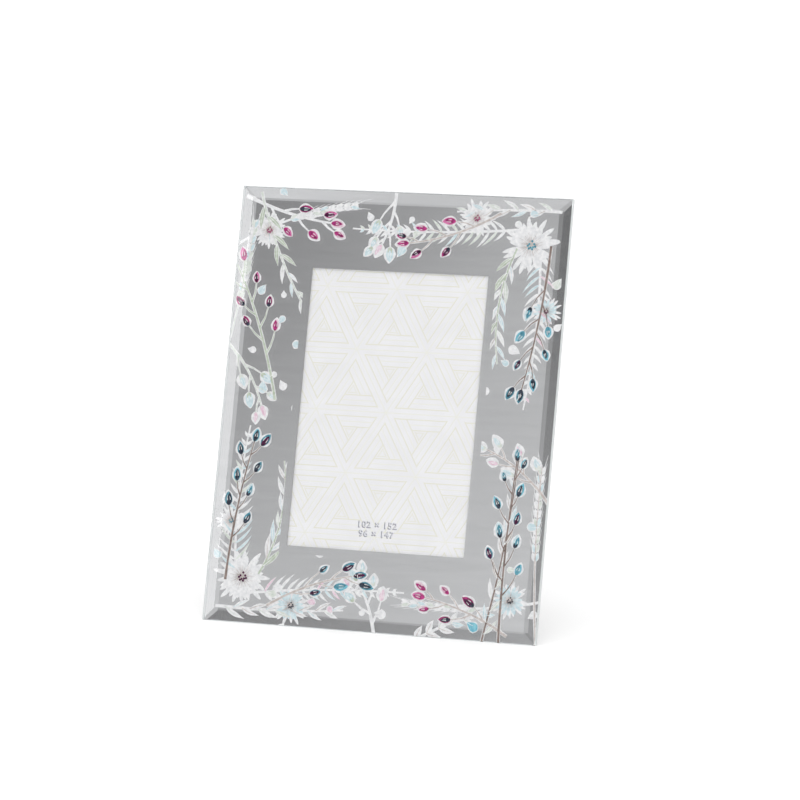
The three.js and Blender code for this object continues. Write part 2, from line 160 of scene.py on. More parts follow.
class Nodes:
    """Builds one node tree."""

    def __init__(self, tree: bpy.types.NodeTree) -> None:
        """Takes the tree and empties it."""
        self.tree = tree
        tree.nodes.clear()

    def add(self, kind: str, settings: dict | None = None, inputs: dict | None = None) -> bpy.types.Node:
        """Adds a node.

        Args:
            kind: The node's type.
            settings: Its properties.
            inputs: The number, Value or output socket that each input takes.

        Returns:
            The new node.
        """
        node = self.tree.nodes.new(kind)
        for name, setting in (settings or {}).items():
            setattr(node, name, setting)
        for name, given in (inputs or {}).items():
            self.feed(node.inputs[name], given)
        return node

    def feed(self, socket: Socket, given: object) -> None:
        """Links or sets one input.

        Args:
            socket: The input.
            given: A number, a Value or an output socket.
        """
        source = given.socket if isinstance(given, Value) else given
        if isinstance(source, Socket):
            self.tree.links.new(source, socket)
        else:
            socket.default_value = source

    def math(self, operation: str, first: object, second: object = 0.0, clamp: bool = False) -> Value:
        """Adds a Math node for two numbers or Values. Clamped, its result stays from 0 to 1."""
        settings = {"operation": operation, "use_clamp": clamp}
        return Value(self, self.add("ShaderNodeMath", settings, {0: first, 1: second}).outputs[0])

    def greatest(self, *numbers: "Value | Socket") -> Value:
        """Takes the greatest of some Values or output sockets."""
        return functools.reduce(lambda one, other: self.math("MAXIMUM", one, other), numbers)

    def object_point(self) -> Socket:
        """Gives the place on the object, in metres."""
        return self.add("ShaderNodeTexCoord").outputs["Object"]

    def panel_point(self, axes: PanelAxes) -> list[Value]:
        """Gives the place in the panel's axes, in millimetres.

        Args:
            axes: The panel's axes.

        Returns:
            Across, depth and height.
        """
        turned = self.add("ShaderNodeMapping", {"vector_type": "TEXTURE"}, {
            "Vector": self.object_point(),
            "Location": axes.matrix.to_translation(),
            "Rotation": axes.matrix.to_euler(),
            "Scale": (MM, MM, MM),
        })
        apart = self.add("ShaderNodeSeparateXYZ", inputs={0: turned.outputs[0]})
        return [Value(self, output) for output in apart.outputs]

    def noise(self, size: float, detail: float = 2.0, stretch: Sequence[float] = (1, 1, 1)) -> Value:
        """Adds a cloudy noise on the object.

        Args:
            size: The size of its patches, in metres.
            detail: How many finer layers it has.
            stretch: How much longer the patches are along each axis.

        Returns:
            Its height, about 0.5 on average.
        """
        scale = [1 / (size * part) for part in stretch]
        point = {0: self.object_point(), 1: scale}
        scaled = self.add("ShaderNodeVectorMath", {"operation": "MULTIPLY"}, point).outputs[0]
        made = self.add("ShaderNodeTexNoise", inputs={"Vector": scaled, "Scale": 1.0, "Detail": detail})
        return Value(self, made.outputs[0])

    def mix(self, factor: Value, first: object, second: object) -> Socket:
        """Mixes two colours.

        Args:
            factor: 0 for the first and 1 for the second.
            first: A colour or a colour socket.
            second: Another.

        Returns:
            The mixed colour's socket.
        """
        first, second = (rgba(one) if isinstance(one, tuple) else one for one in (first, second))
        node = self.add("ShaderNodeMix", {"data_type": "RGBA"}, {0: factor, 6: first, 7: second})
        return node.outputs[2]

    def bump(self, height: Value, depth: float, strength: float = 1.0) -> Socket:
        """Gives the normal of relief that is some metres deep where its height goes from 0 to 1."""
        node = self.add("ShaderNodeBump", inputs={"Height": height, "Distance": depth, "Strength": strength})
        return node.outputs[0]

    def surface(self, inputs: dict) -> None:
        """Adds the surface shader and the output that it feeds."""
        shader = self.add("ShaderNodeBsdfPrincipled", inputs=inputs)
        self.add("ShaderNodeOutputMaterial", inputs={"Surface": shader.outputs[0]})

    def pane(self, inputs: dict) -> None:
        """Adds the shader of glass that lets soft light and shadows straight through.

        Args:
            inputs: The sockets of the glass itself.
        """
        light_path = self.add("ShaderNodeLightPath").outputs
        passing = self.greatest(light_path["Is Shadow Ray"], light_path["Is Diffuse Ray"])
        glass = self.add("ShaderNodeBsdfPrincipled", inputs=inputs)
        clear = self.add("ShaderNodeBsdfTransparent")
        mixed = self.add("ShaderNodeMixShader", inputs={0: passing, 1: glass.outputs[0], 2: clear.outputs[0]})
        self.add("ShaderNodeOutputMaterial", inputs={"Surface": mixed.outputs[0]})


@dataclass(frozen=True)
class Finish:
    """A finish that becomes one material."""

    name: str

    def material(self) -> bpy.types.Material:
        """Makes the material.

        Returns:
            The new material with its nodes.
        """
        made = bpy.data.materials.new(self.name)
        made.use_nodes = True
        self.paint(Nodes(made.node_tree))
        return made

    def paint(self, nodes: Nodes) -> None:
        """Fills the material's tree."""
        raise NotImplementedError


@dataclass(frozen=True)
class ClearGlass(Finish):
    """Polished float glass with the faintest wiping marks."""

    name: str = "clear_glass"
    tint: Colour = srgb("#fdfdfd")
    ior: float = 1.52
    smear: float = 0.018

    def paint(self, nodes: Nodes) -> None:
        """Varies only the roughness, in long faint wipes."""
        wipes = nodes.noise(0.02, 3, (3, 1, 0.6)).ramp(0.55, 0.8)
        nodes.pane({
            "Base Color": rgba(self.tint), "Roughness": wipes * self.smear,
            "IOR": self.ior, "Transmission Weight": 1.0,
        })


@dataclass(frozen=True)
class GroundEdge(Finish):
    """The narrow ground edge of the glass, satin and pale."""

    name: str = "ground_edge"
    tint: Colour = srgb("#dbdfdf")
    mark: Colour = srgb("#ccd3d2")
    ior: float = 1.52

    def paint(self, nodes: Nodes) -> None:
        """Grinding marks run along the edge."""
        marks = nodes.noise(0.0006, 3)
        nodes.pane({
            "Base Color": nodes.mix(marks.ramp(0.3, 0.7), self.tint, self.mark),
            "Roughness": 0.22 + marks * 0.16, "IOR": self.ior, "Transmission Weight": 0.15,
            "Normal": nodes.bump(marks, 0.02 * MM, 0.5),
        })


@dataclass(frozen=True)
class Silvering(Finish):
    """The silver on the rear of the glass, seen through it."""

    name: str = "silvering"
    bright: Colour = srgb("#eff0f2")
    dull: Colour = srgb("#e9eaec")

    def paint(self, nodes: Nodes) -> None:
        """Faint level streaks, as a float sheet leaves them."""
        streaks = nodes.noise(0.004, 3, (9, 1, 1))
        nodes.surface({
            "Base Color": nodes.mix(streaks.ramp(0.3, 0.7), self.bright, self.dull),
            "Metallic": 1.0, "Roughness": 0.02 + streaks * 0.02,
        })


@dataclass(frozen=True)
class BackingPaint(Finish):
    """The grey paint that protects the silver, seen from behind."""

    name: str = "backing_paint"
    colour: Colour = srgb("#8d9191")
    patch: Colour = srgb("#7d8282")

    def paint(self, nodes: Nodes) -> None:
        """A rolled coat with a little orange peel."""
        patches = nodes.noise(0.02, 4)
        peel = nodes.noise(0.0009, 2)
        nodes.surface({
            "Base Color": nodes.mix(patches.ramp(0.35, 0.7), self.colour, self.patch),
            "Roughness": 0.42 + peel * 0.2, "Normal": nodes.bump(peel, 0.03 * MM),
        })


@dataclass(frozen=True)
class InkPaint(Finish):
    """One printed colour, washed like watercolour."""

    name: str
    light: Colour
    deep: Colour
    wash: float = 0.0016

    def paint(self, nodes: Nodes) -> None:
        """Mixes the light and the deep tone in small pools. It has no gloss of its own under the glass."""
        pools = nodes.noise(self.wash, 3)
        grain = nodes.noise(self.wash / 6, 1)
        tone = (pools + grain * 0.3).ramp(0.5, 0.82)
        nodes.surface({
            "Base Color": nodes.mix(tone, self.light, self.deep),
            "Roughness": 0.7, "Specular IOR Level": 0.0,
        })


@dataclass(frozen=True)
class Velour(Finish):
    """Short dark flock on paper."""

    name: str = "velour"
    pile: Colour = srgb("#1f1f23")
    brushed: Colour = srgb("#37373d")
    lint: Colour = srgb("#76757a")

    def paint(self, nodes: Nodes) -> None:
        """Fine fibres in small tufts, broad patches where a hand has brushed the pile, and a little lint."""
        brushed = nodes.noise(0.022, 3, (1, 1, 1.6))
        tufts = nodes.noise(0.0016, 3)
        fibres = nodes.noise(0.00035, 2)
        tone = (brushed * 0.45 + tufts * 0.35 + fibres * 0.4).ramp(0.46, 0.76)
        lint = nodes.noise(0.0011, 1, (1, 1, 2.2)).ramp(0.76, 0.8) * 0.4
        nodes.surface({
            "Base Color": nodes.mix(lint, nodes.mix(tone, self.pile, self.brushed), self.lint),
            "Roughness": 0.94, "Specular IOR Level": 0.2, "Sheen Weight": 0.35, "Sheen Roughness": 0.45,
            "Normal": nodes.bump(fibres + tufts * 0.6, 0.25 * MM, 0.7),
        })


@dataclass(frozen=True)
class Fibreboard(Finish):
    """Raw fibreboard."""

    name: str = "fibreboard"
    light: Colour = srgb("#a98c68")
    dark: Colour = srgb("#7b5f43")

    def paint(self, nodes: Nodes) -> None:
        """Pressed fibres with darker flecks."""
        fibres = nodes.noise(0.0007, 4, (2, 2, 0.7))
        flecks = nodes.noise(0.0025, 3).ramp(0.58, 0.7)
        base = nodes.mix(fibres.ramp(0.3, 0.7), self.light, self.dark)
        nodes.surface({
            "Base Color": nodes.mix(flecks * 0.5, base, self.dark),
            "Roughness": 0.86, "Normal": nodes.bump(fibres, 0.08 * MM, 0.6),
        })


@dataclass(frozen=True)
class FoamTape(Finish):
    """White closed-cell foam tape."""

    name: str = "foam_tape"
    light: Colour = srgb("#efeee8")
    dark: Colour = srgb("#d3d0c6")

    def paint(self, nodes: Nodes) -> None:
        """Small cells along the cut edge."""
        cells = nodes.noise(0.0004, 2)
        nodes.surface({
            "Base Color": nodes.mix(cells.ramp(0.35, 0.65), self.dark, self.light),
            "Roughness": 0.8, "Normal": nodes.bump(cells, 0.1 * MM, 0.6),
        })


@dataclass(frozen=True)
class Greyboard(Finish):
    """Recycled grey board."""

    name: str = "greyboard"
    light: Colour = srgb("#a8a39b")
    dark: Colour = srgb("#8b867e")
    fleck: Colour = srgb("#56534d")
    scrap: Colour = srgb("#c9c5bd")

    def paint(self, nodes: Nodes) -> None:
        """Felted fibres, with dark and pale flecks of the papers that went into it."""
        clouds = nodes.noise(0.009, 2)
        fibres = nodes.noise(0.0012, 4, (1, 1, 2.5))
        dark = nodes.noise(0.0009, 1, (2, 1, 1)).ramp(0.72, 0.77)
        pale = nodes.noise(0.0013, 1, (1, 1, 2.5)).ramp(0.28, 0.24)
        base = nodes.mix((clouds * 0.3 + fibres * 0.7).ramp(0.36, 0.64), self.light, self.dark)
        flecked = nodes.mix(dark * 0.7, base, self.fleck)
        nodes.surface({
            "Base Color": nodes.mix(pale * 0.6, flecked, self.scrap),
            "Roughness": 0.9, "Normal": nodes.bump(fibres, 0.05 * MM, 0.6),
        })


@dataclass(frozen=True)
class NickelPlate(Finish):
    """Nickel on stamped steel."""

    name: str = "nickel_plate"
    bright: Colour = srgb("#cbcac7")
    dull: Colour = srgb("#b6b4af")

    def paint(self, nodes: Nodes) -> None:
        """Drawing lines from the strip, and dull patches from handling."""
        lines = nodes.noise(0.0003, 2, (14, 1, 1))
        patches = nodes.noise(0.004, 3)
        nodes.surface({
            "Base Color": nodes.mix(patches.ramp(0.4, 0.75), self.bright, self.dull),
            "Metallic": 1.0, "Roughness": 0.24 + patches * 0.08 + lines * 0.08,
            "Normal": nodes.bump(lines, 0.01 * MM, 0.6),
        })


@dataclass(frozen=True)
class PrintedCard(Finish):
    """White card with a lattice of pale gold lines: triangles, each with a ring of interlaced bands.

    Its lengths are in millimetres.
    """

    axes: PanelAxes | None = None
    name: str = "printed_card"
    pitch: float = 38.15
    row_share: float = 0.8534
    node_height: float = 179.8
    node_across: float = -0.85
    outline: float = 2.8
    band: float = 5.6
    heart_inset: float = 1.2
    heart_strength: float = 0.7
    line: float = 0.34
    soft: float = 0.16
    paper: Colour = srgb("#f5f5f7")
    shaded_paper: Colour = srgb("#f0f0f2")
    gold: Colour = srgb("#e9e8da")
    pale_gold: Colour = srgb("#f0f0e9")

    def paint(self, nodes: Nodes) -> None:
        """Draws the lines on the card and dresses the paper under them."""
        strong, faint = self.lattice(nodes)
        fibres = nodes.noise(0.0005, 3)
        clouds = nodes.noise(0.012, 2)
        paper = nodes.mix(clouds.ramp(0.3, 0.7), self.paper, self.shaded_paper)
        ruled = nodes.mix(faint, paper, self.pale_gold)
        nodes.surface({
            "Base Color": nodes.mix(strong, ruled, self.gold),
            "Roughness": 0.62 - strong * 0.25, "Specular IOR Level": 0.3,
            "Normal": nodes.bump(fibres, 0.02 * MM, 0.5),
        })

    def lattice(self, nodes: Nodes) -> tuple[Value, Value]:
        """Works out where the strong and the faint lines run.

        Args:
            nodes: The material's nodes.

        Returns:
            The masks of the strong and of the faint lines.
        """
        across, _, height = nodes.panel_point(self.axes)
        row = self.pitch * self.row_share
        up = (height - self.node_height) / row
        slant = (across - self.node_across) / self.pitch
        steps = [up, slant - up * 0.5, 0 - slant - up * 0.5]
        parts = [step - step.floor() for step in steps]
        # The three parts add up to 1 in a triangle that points up, and to 2 in the others.
        points_up = 1 - (parts[0] + parts[1] + parts[2]).above(1.5)
        sides = [
            points_up * part * row + (1 - points_up) * (1 - other) * row
            for part, other in zip(parts, (parts[0], parts[2], parts[1]))
        ]
        middle, inner = self.outline + self.band / 2, self.outline + self.band
        strong = nodes.greatest(self.triangle(sides, self.outline, True), self.weave(sides, inner))
        faint = nodes.greatest(self.triangle(sides, 0.0, False), self.weave(sides, middle))
        heart = self.triangle(sides, inner + self.heart_inset, True)
        return nodes.greatest(strong, heart * self.heart_strength), faint

    def stroke(self, distance: Value, place: float) -> Value:
        """Gives 1 on the line that runs at a place, by the distance from a side of the triangle."""
        return abs(distance - place).ramp(self.line / 2 + self.soft, self.line / 2)

    def triangle(self, sides: Sequence[Value], place: float, closed: bool) -> Value:
        """Draws the triangle at one distance from all three sides.

        Args:
            sides: The distances from the base, the left and the right side.
            place: The triangle's distance from them.
            closed: Whether its lines end where they meet.

        Returns:
            The triangle's mask.
        """
        drawn = sides[0].nodes.greatest(*(self.stroke(side, place) for side in sides))
        for side in sides if closed else ():
            drawn = drawn * side.above(place - self.line)
        return drawn

    def weave(self, sides: Sequence[Value], place: float) -> Value:
        """Draws the inner edges of the three bands, each tucked under the next.

        Args:
            sides: The distances from the base, the left and the right side.
            place: How far in the edges run.

        Returns:
            The edges' mask.
        """
        base, left, right = sides
        inner = self.outline + self.band
        return base.nodes.greatest(*(
            self.stroke(edge, place) * free.above(self.outline) * tucked.above(inner)
            for edge, free, tucked in ((right, left, base), (left, base, right), (base, right, left))
        ))


class Dressing:
    """What every sub-assembly shares: making a piece from a mesh and finishing carried-over nodes."""

    @staticmethod
    def piece(
        name: str, shape: Shape, place: Matrix, finishes: Sequence[Finish],
    ) -> bpy.types.Object:
        """Makes an object at the origin, with its place in its mesh.

        Args:
            name: The piece's name.
            shape: Its mesh, which is used up.
            place: What takes the mesh to the standing frame.
            finishes: Its finishes, by material index.

        Returns:
            The new object.
        """
        bmesh.ops.transform(shape, matrix=place, verts=shape.verts)
        bmesh.ops.recalc_face_normals(shape, faces=shape.faces)
        mesh = bpy.data.meshes.new(name)
        shape.to_mesh(mesh)
        shape.free()
        for finish in finishes:
            mesh.materials.append(finish.material())
        made = bpy.data.objects.new(name, mesh)
        bpy.context.scene.collection.objects.link(made)
        LOG.info("%s: %d faces", name, len(mesh.polygons))
        return made

    @staticmethod
    def finish_nodes(finish: Finish, names: Iterable[str]) -> None:
        """Gives carried-over nodes a finish.

        Args:
            finish: The finish.
            names: The nodes' names.
        """
        material = finish.material()
        for name in names:
            node = frame["nodes"][name]
            if not node.material_slots:
                node.data.materials.append(material)
            for slot in node.material_slots:
                slot.material = material
            LOG.info("%s: %s", name, finish.name)


class Work(Enum):
    """How a face of the glass is worked. The value is its material's index."""

    POLISHED = 0
    GROUND = 1
    SILVERED = 2
    # The front arrises with a darker glass tint: a painted shade line along the top, left and bottom edges.
    PAINTED_SHADE_ARRIS = 3


@dataclass
class Glass(Dressing):
    """The bevelled sheet of glass. Its rear face is silvered all round a clear window."""

    axes: PanelAxes
    corner_softness: float = 0.25 * MM
    corner_segments: int = 2
    near: float = 0.01 * MM
    snugness: float = 0.99999
    side_lean: float = 0.5
    arris_lean: float = 0.8
    # A darker glass tint for the front arrises on the top, left and bottom: a painted shade line along those
    # edges.
    painted_shade_arris: ClearGlass = ClearGlass("painted_shade_arris", tint=srgb("#b8bcbd"))

    def build(self) -> bpy.types.Object:
        """Shapes the sheet from a block by insets, and sets how each face is worked.

        Returns:
            The glass.
        """
        across, depths, heights = (self.axes.levels("glass_panel", axis) for axis in range(3))
        reach, height, bevel = across[-1], heights[-1], heights[2]
        _, drop, side_front, side_rear, thickness = depths
        front_arris, rear_arris = side_front - drop, thickness - side_rear
        border = self.axes.levels("mirror_coat", 2)[1]
        shape = bmesh.new()
        middle = Matrix.Translation((0, thickness / 2, height / 2))
        size = Matrix.Diagonal((2 * reach, thickness, height, 1))
        bmesh.ops.create_cube(shape, size=1, matrix=middle @ size)
        front, *_, rear = sorted(shape.faces, key=lambda face: face.calc_center_median().y)
        self.step_edge(shape, front, front_arris, side_front)
        self.step_edge(shape, front, bevel - front_arris, drop)
        self.step_edge(shape, rear, rear_arris, -rear_arris)
        coat = border - rear_arris
        silvered = bmesh.ops.inset_region(shape, faces=[rear], thickness=coat, use_even_offset=True)["faces"]
        for face in shape.faces:
            face.material_index = (Work.SILVERED if face in silvered else self.work(face)).value
        bmesh.ops.bevel(
            shape, geom=[edge for edge in shape.edges if self.is_corner(edge, side_front, side_rear)],
            offset=self.corner_softness, segments=self.corner_segments, profile=0.5, affect="EDGES",
            material=Work.GROUND.value,
        )
        place = self.axes.matrix @ middle @ Matrix.Scale(self.snugness, 4) @ middle.inverted()
        made = self.piece("glass", shape, place, [ClearGlass(), GroundEdge(), Silvering(), self.painted_shade_arris])
        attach(made, "frame")
        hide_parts("glass_panel")
        return made

    def work(self, face: bmesh.types.BMFace) -> Work:
        """Says how a face without silver is worked.

        Args:
            face: The face.

        Returns:
            Polished for the front, its bevel and the window; ground for the sides, the rear arrises and the
            right front arris, which so shows as a painted pale strip; and the darker-tinted arrises, a
            painted shade line, for the others.
        """
        lean = abs(face.normal.y)
        if lean >= self.arris_lean:
            return Work.POLISHED
        # The right front arris is ground, a painted pale strip; the other front arrises take the dark tint, a
        # painted shade line.
        right, rear = face.normal.x > self.side_lean, face.normal.y > 0
        return Work.GROUND if lean < self.side_lean or right or rear else Work.PAINTED_SHADE_ARRIS

    @staticmethod
    def step_edge(shape: Shape, face: bmesh.types.BMFace, inset: float, shift: float) -> None:
        """Insets a face and moves the edge around it in depth.

        Args:
            shape: The glass.
            face: Its front or rear face.
            inset: How wide the slope is.
            shift: How far the outer edge moves towards the rear.
        """
        slope = bmesh.ops.inset_region(shape, faces=[face], thickness=inset, use_even_offset=True)["faces"]
        outer = {vertex for part in slope for vertex in part.verts} - set(face.verts)
        bmesh.ops.translate(shape, verts=list(outer), vec=(0, shift, 0))
        shape.normal_update()

    def is_corner(self, edge: bmesh.types.BMEdge, front: float, rear: float) -> bool:
        """Says whether an edge is a corner of the sheet's sides, from the one depth to the other."""
        ends = sorted(vertex.co.y for vertex in edge.verts)
        return all(abs(end - depth) < self.near for end, depth in zip(ends, (front, rear)))


class Ink(Enum):
    """The printed colours, from the one printed first, deepest in the glass, to the last."""

    WHITE = ("#f2f2f3", "#dedfe1")
    ICE = ("#dce9ed", "#bfd5dc")
    MINT = ("#e3e6e2", "#cbd3ca")
    SAGE = ("#cdd5c8", "#afbba6")
    BLUSH = ("#efe0e8", "#ddbacd")
    SAND = ("#d8d1ce", "#b9afab")
    BROWN = ("#9c8c86", "#766862")
    SKY = ("#8ecbda", "#62aec4")
    TEAL = ("#67a8ba", "#3c7587")
    PINK = ("#df86b8", "#ba558b")
    MAGENTA = ("#c23f89", "#7b2254")
    PLUM = ("#5c1a4a", "#260822")
    SLATE = ("#414957", "#1a202f")
    CHALK = ("#f9fafa", "#eceeef")

    def finish(self) -> InkPaint:
        """Gives the colour's finish."""
        light, deep = self.value
        return InkPaint(f"ink_{self.name.lower()}", srgb(light), srgb(deep))


MAGENTAS = (
    (Ink.MAGENTA, Ink.PLUM, Ink.SLATE), (Ink.PINK, Ink.MAGENTA, Ink.SAGE), (Ink.MAGENTA, Ink.SLATE, Ink.SAGE),
    (Ink.BLUSH, Ink.MAGENTA, Ink.SAGE), (Ink.PINK, Ink.PLUM, Ink.BROWN),
)
TEALS = (
    (Ink.TEAL, Ink.SLATE, Ink.SLATE), (Ink.SKY, Ink.TEAL, Ink.BROWN), (Ink.SKY, Ink.SLATE, Ink.BROWN),
    (Ink.ICE, Ink.TEAL, Ink.SLATE), (Ink.TEAL, Ink.PLUM, Ink.BROWN),
)
FROSTS = ((Ink.WHITE, Ink.ICE, Ink.MINT), (Ink.ICE, Ink.WHITE, Ink.SAGE), (Ink.WHITE, Ink.BLUSH, Ink.MINT))
PALES = (Ink.WHITE,) * 3 + (Ink.ICE, Ink.MINT)
GREENS = (Ink.WHITE, Ink.WHITE, Ink.MINT, Ink.SAGE, Ink.ICE)
WHITES = (Ink.WHITE,) * 6 + (Ink.ICE, Ink.BLUSH)


@dataclass(frozen=True)
class Arc:
    """A stroke of even curvature on the print, in millimetres and degrees."""

    start: Point | Vector
    heading: float
    length: float
    bend: float = 0.0

    def at(self, share: float) -> tuple[Vector, float]:
        """Finds a place along the stroke.

        Args:
            share: From 0 at its start to 1 at its end.

        Returns:
            The place and the heading there, in degrees.
        """
        heading = self.heading + self.bend * share
        middle = math.radians(self.heading + self.bend * share / 2)
        half_turn = math.radians(self.bend * share / 2)
        chord = self.length * share * (math.sin(half_turn) / half_turn if half_turn else 1)
        place = Vector(self.start) + Vector((math.cos(middle), math.sin(middle))) * chord
        return place, heading

    def beside(self, share: float, offset: float) -> Vector:
        """Finds a place beside the stroke.

        Args:
            share: From 0 at its start to 1 at its end.
            offset: How far to the left of it.

        Returns:
            The place.
        """
        place, heading = self.at(share)
        turn = math.radians(heading)
        return place + Vector((-math.sin(turn), math.cos(turn))) * offset


class Outline(Enum):
    """How a printed shape's width runs along it: where it is widest, and how full it is there."""

    LEAF = (0.85, 1.2)
    BLADE = (0.7, 1.0)
    PETAL = (1.7, 0.62)
    BUD = (0.8, 0.75)
    SEPAL = (0.6, 1.1)

    def width(self, share: float) -> float:
        """Gives the width at a place along the shape, as a share of the greatest."""
        shift, fullness = self.value
        return max(0.0, math.sin(math.pi * share ** shift)) ** fullness


class Site(NamedTuple):
    """Where a part leaves its stem: the share along it, the foot, its heading, and the side, -1 or 1."""

    share: float
    foot: Point | Vector
    heading: float
    side: int

    def aside(self, angle: float, length: float, bend: float) -> Arc:
        """Gives the middle line of a part that leaves to its side and bends back."""
        return Arc(self.foot, self.heading + self.side * angle, length, -self.side * bend)


@dataclass
class PrintSheet:
    """Collects flat shapes of ink, one mesh for each colour, in millimetres on the glass."""

    dice: random.Random
    meshes: dict[Ink, Shape] = field(default_factory=lambda: {ink: bmesh.new() for ink in Ink})
    count: int = 0
    lift: float = 0.0004
    lift_steps: int = 40
    halo: float = 0.34
    long_shape: float = 5.0
    shape_corners: tuple[int, int] = (12, 18)
    shape_wobble: float = 0.07
    line_piece: float = 5.0
    line_wobble: float = 0.12
    dot_corners: int = 10
    rib: tuple[float, float] = (0.42, 0.12)
    shine: tuple[float, float] = (0.4, 0.12)

    def height(self) -> float:
        """Lifts each shape a hair off the last, so that none lies in another's plane."""
        self.count += 1
        return (self.count % self.lift_steps) * self.lift

    def shape(self, ink: Ink, outline: Outline, along: Arc, width: float, grow: float = 0.0) -> None:
        """Paints a closed shape along an arc.

        Args:
            ink: Its colour.
            outline: How its width runs.
            along: Its middle line.
            width: Its greatest width.
            grow: How far its edge stands out all round.
        """
        axis = Arc(along.at(-grow / along.length)[0], along.heading, along.length + 2 * grow, along.bend)
        corners = self.shape_corners[along.length > self.long_shape]
        made = bmesh.ops.create_circle(self.meshes[ink], cap_ends=True, segments=corners, radius=1.0)
        level = self.height()
        for vertex in made["verts"]:
            turn = math.atan2(vertex.co.x, vertex.co.y)
            share = (1 - math.cos(turn)) / 2
            wobble = 1 + self.dice.uniform(-self.shape_wobble, self.shape_wobble)
            half = (width / 2 + grow) * outline.width(share) * wobble
            vertex.co = (*axis.beside(share, -half if turn > 0 else half), level)

    def line(self, ink: Ink, along: Arc, start_width: float, end_width: float) -> None:
        """Paints a stroke that tapers.

        Args:
            ink: Its colour.
            along: Its middle line.
            start_width: Its width where it starts.
            end_width: Its width where it ends.
        """
        steps = max(2, round(along.length / self.line_piece))
        made = bmesh.ops.create_grid(self.meshes[ink], x_segments=steps, y_segments=1, size=1.0)
        level = self.height()
        for vertex in made["verts"]:
            share = (vertex.co.x + 1) / 2
            width = start_width + (end_width - start_width) * share
            wobble = 1 + self.dice.uniform(-self.line_wobble, self.line_wobble)
            vertex.co = (*along.beside(share, vertex.co.y * width / 2 * wobble), level)

    def dot(self, ink: Ink, centre: Vector, radius: float) -> None:
        """Paints a round dot.

        Args:
            ink: Its colour.
            centre: Its middle.
            radius: Its radius.
        """
        mesh = self.meshes[ink]
        made = bmesh.ops.create_circle(mesh, cap_ends=True, segments=self.dot_corners, radius=radius)
        bmesh.ops.translate(mesh, verts=made["verts"], vec=(*centre, self.height()))

    def framed(self, ink: Ink, outline: Outline, along: Arc, width: float, halo: float) -> None:
        """Paints a shape over its own white edge.

        Args:
            ink: Its colour.
            outline: How its width runs.
            along: Its middle line.
            width: Its greatest width.
            halo: How wide the edge is.
        """
        self.shape(Ink.WHITE, outline, along, width, halo)
        if ink is not Ink.WHITE:
            self.shape(ink, outline, along, width)

    def leaf(self, ink: Ink, along: Arc, width: float) -> None:
        """Paints a pointed leaf with its midrib.

        Args:
            ink: The blade's colour.
            along: Its middle line.
            width: Its width.
        """
        vein = self.dice.choice((Ink.ICE, Ink.MINT, Ink.SAND)) if ink is Ink.WHITE else Ink.CHALK
        self.framed(ink, Outline.LEAF, along, width, self.halo)
        self.line(vein, Arc(along.start, along.heading, along.length * 0.8, along.bend * 0.8), *self.rib)

    def stem(self, ink: Ink, along: Arc, width: float) -> None:
        """Paints a stem with its white edge."""
        self.line(Ink.WHITE, along, width + 2 * self.halo, width * 0.45 + 1.4 * self.halo)
        self.line(ink, along, width, width * 0.4)

    def bud(self, base: Vector, heading: float, length: float, inks: tuple[Ink, Ink, Ink]) -> None:
        """Paints a closed flower of three petals in two sepals.

        Args:
            base: Where it sits on its stalk.
            heading: Where it points.
            length: Its length.
            inks: The outer petals', the middle petal's and the sepals' colours.
        """
        outer, middle, sepal = inks
        sites = [Site(0.0, base, heading, side) for side in (-1, 1)]
        self.shape(Ink.WHITE, Outline.BUD, Arc(base, heading, length), length * 0.7, self.halo * 1.4)
        for site in sites:
            petal = site.aside(15, length * self.dice.uniform(0.85, 1.05), 26)
            self.shape(Ink.WHITE, Outline.BUD, petal, length * 0.4, self.halo)
            self.shape(outer, Outline.BUD, petal, length * 0.38)
        upright = Arc(base, heading + self.dice.uniform(-8, 8), length * 0.85)
        self.shape(middle, Outline.BUD, upright, length * 0.36)
        for site in sites:
            self.shape(sepal, Outline.SEPAL, site.aside(34, length * 0.4, 30), 1.2)
            foot = site.aside(self.dice.uniform(9, 20), length, 0).at(0.36)[0]
            shine = site._replace(foot=foot).aside(4, length * self.dice.uniform(0.2, 0.4), 20)
            self.line(Ink.CHALK, shine, *self.shine)

    def petal(self, ink: Ink, place: Point, heading: float, length: float) -> None:
        """Paints a loose petal with a pale streak.

        Args:
            ink: Its colour.
            place: Where its narrow end lies.
            heading: Where it points.
            length: Its length.
        """
        along = Arc(place, heading, length, 20)
        self.shape(Ink.WHITE, Outline.PETAL, along, length * 0.72, self.halo)
        self.shape(ink, Outline.PETAL, along, length * 0.66)
        self.line(Ink.CHALK, Arc(place, heading + 4, length * 0.6, 16), *self.shine)


